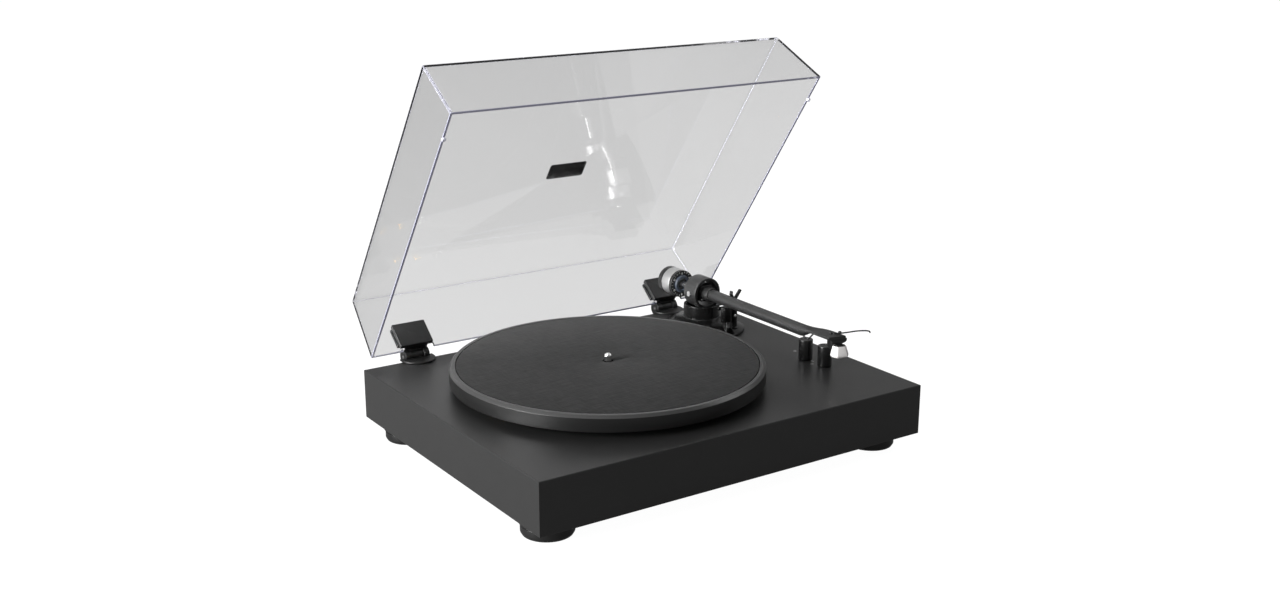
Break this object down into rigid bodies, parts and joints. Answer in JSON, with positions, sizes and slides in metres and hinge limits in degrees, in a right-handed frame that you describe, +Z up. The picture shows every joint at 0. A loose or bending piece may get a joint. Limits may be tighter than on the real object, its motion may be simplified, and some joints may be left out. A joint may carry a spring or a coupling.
{
  "type": "record player",
  "caption": "Belt-drive record player with a platter and mat, a gimbal tonearm with counterweight and cartridge, rotary knobs and a hinged clear dust cover.",
  "frame": {"origin": "on the surface that the feet stand on, at the middle of the footprint of the open record player", "axes": "+X to the user's right, along the front; +Y from the front to the back; +Z up"},
  "size_m": [0.42, 0.3888, 0.3738],
  "materials": {
    "plinth_vinyl": "fibreboard wrapped in satin black vinyl with a fine grain",
    "platter_black": "cast, with a satin black coat and a polished bevel",
    "mat_felt": "charcoal felt",
    "black_plastic": "satin moulded",
    "knob_black": "satin moulded with a lighter top",
    "arm_base_black": "satin moulded",
    "hinge_black": "satin moulded",
    "grey_plastic": "matt moulded",
    "black_rubber": "matt",
    "arm_black": "fine textured black paint",
    "cast_aluminium": "as cast",
    "steel": "turned and polished",
    "satin_silver": "satin silver band with a black ring",
    "brass": "turned",
    "gold_plate": "gold plated barrels in a black block",
    "board_green": "green solder resist",
    "cartridge_black": "satin moulded",
    "clear_guard": "translucent clear moulding",
    "dial_black": "satin with light printed numbers and a blue-grey middle",
    "clear_acrylic": "clear, with a faint violet tint at its edges",
    "clear_stop": "clear, soft",
    "badge_black": "gloss, plain"
  },
  "bodies": {
    "base": {"plinth": "plinth_vinyl", "bottom_cover": "grey_plastic", "foot_front_left": "black_plastic", "foot_front_right": "black_plastic", "foot_rear_left": "black_plastic", "foot_rear_right": "black_plastic", "foot_pad_front_left": "black_rubber", "foot_pad_front_right": "black_rubber", "foot_pad_rear_left": "black_rubber", "foot_pad_rear_right": "black_rubber", "bearing_housing": "cast_aluminium", "thrust_ball": "steel", "drive_belt": "black_rubber", "motor": "steel", "power_switch": "grey_plastic", "speed_switch": "grey_plastic", "circuit_board": "board_green", "connector_panel": "black_plastic", "signal_jacks": "gold_plate", "ground_post": "steel", "power_inlet": "black_plastic", "arm_base": "arm_base_black", "arm_rest": "black_plastic", "hinge_base_left": "hinge_black", "hinge_base_right": "hinge_black", "hinge_pin_left": "steel", "hinge_pin_right": "steel"},
    "platter": {"spindle": "steel", "sub_platter": "grey_plastic", "platter": "platter_black", "mat": "mat_felt"},
    "pulley": {"motor_pulley": "brass"},
    "lid": {"dust_cover": "clear_acrylic", "badge": "badge_black", "bumper_left": "clear_stop", "bumper_right": "clear_stop", "hinge_clamp_left": "hinge_black", "hinge_clamp_right": "hinge_black"},
    "gimbal": {"arm_column": "steel", "gimbal_ring": "arm_black", "pivot_screw_left": "steel", "pivot_screw_right": "steel"},
    "arm": {"bearing_block": "arm_black", "arm_tube": "arm_black", "finger_lift": "arm_black", "cartridge_body": "cartridge_black", "stylus_unit": "cartridge_black", "weight_shaft": "steel"},
    "guard": {"stylus_guard": "clear_guard"},
    "weight_slide": {"weight_sleeve": "grey_plastic"},
    "counterweight": {"counterweight": "satin_silver"},
    "dial": {"force_dial": "dial_black"},
    "clip": {"arm_clip": "black_plastic"},
    "lifter": {"cue_lifter": "black_plastic"},
    "lever": {"cue_lever": "black_plastic"},
    "power_knob": {"power_knob": "knob_black"},
    "speed_knob": {"speed_knob": "knob_black"},
    "anti_skate": {"anti_skate_dial": "black_plastic"}
  },
  "joints": [
    {"name": "lid_hinge", "type": "hinge", "parent": "base", "child": "lid", "pos_m": [0, 0.14665, 0.068], "axis": [-1, 0, 0], "range_deg": [-55, 0]},
    {"name": "platter_spin", "type": "hinge", "parent": "base", "child": "platter", "pos_m": [-0.0325, -0.02285, 0.08], "axis": [0, 0, -1], "continuous": true},
    {"name": "pulley_spin", "type": "hinge", "parent": "base", "child": "pulley", "pos_m": [-0.106, 0.05065, 0.072], "axis": [0, 0, -1], "continuous": true},
    {"name": "arm_swing", "type": "hinge", "parent": "base", "child": "gimbal", "pos_m": [0.144, 0.06665, 0.106], "axis": [0, 0, -1], "range_deg": [0, 50]},
    {"name": "arm_lift", "type": "hinge", "parent": "gimbal", "child": "arm", "pos_m": [0.144, 0.06665, 0.106], "axis": [-1, 0, 0], "range_deg": [-0.8, 12]},
    {"name": "guard_off", "type": "slide", "parent": "arm", "child": "guard", "axis": [-0.2588, -0.9659, 0], "range_m": [0, 0.012]},
    {"name": "counterweight_turn", "type": "hinge", "parent": "weight_slide", "child": "counterweight", "pos_m": [0.144, 0.1156, 0.106], "axis": [0, 1, 0], "range_deg": [-360, 720]},
    {"name": "counterweight_travel", "type": "slide", "parent": "arm", "child": "weight_slide", "axis": [0, 1, 0], "range_m": [-0.006, 0.012]},
    {"name": "dial_zero", "type": "hinge", "parent": "counterweight", "child": "dial", "pos_m": [0.144, 0.1156, 0.106], "axis": [0, 1, 0], "range_deg": [-180, 180]},
    {"name": "clip_open", "type": "hinge", "parent": "base", "child": "clip", "pos_m": [0.1565, 0.02715, 0.1036], "axis": [0, 1, 0], "range_deg": [0, 60]},
    {"name": "cue_lever_tilt", "type": "hinge", "parent": "base", "child": "lever", "pos_m": [0.175, 0.06765, 0.088], "axis": [-1, 0, 0], "range_deg": [-25, 0]},
    {"name": "cue_lift", "type": "slide", "parent": "base", "child": "lifter", "axis": [0, 0, 1], "range_m": [-0.004, 0]},
    {"name": "power_knob_turn", "type": "hinge", "parent": "base", "child": "power_knob", "pos_m": [0.1685, -0.07445, 0.07], "axis": [0, 0, -1], "range_deg": [0, 60]},
    {"name": "speed_knob_turn", "type": "hinge", "parent": "base", "child": "speed_knob", "pos_m": [0.1703, -0.10115, 0.07], "axis": [0, 0, -1], "range_deg": [0, 60]},
    {"name": "anti_skate_turn", "type": "hinge", "parent": "base", "child": "anti_skate", "pos_m": [0.146, 0.09415, 0.082], "axis": [0, 0, -1], "range_deg": [0, 270]}
  ],
  "couplings": [
    {"joint": "pulley_spin", "follows": "platter_spin", "ratio": 8},
    {"joint": "counterweight_travel", "follows": "counterweight_turn", "m_per_rad": 0.00095493},
    {"joint": "cue_lift", "follows": "cue_lever_tilt", "m_per_rad": 0.0091673}
  ]
}
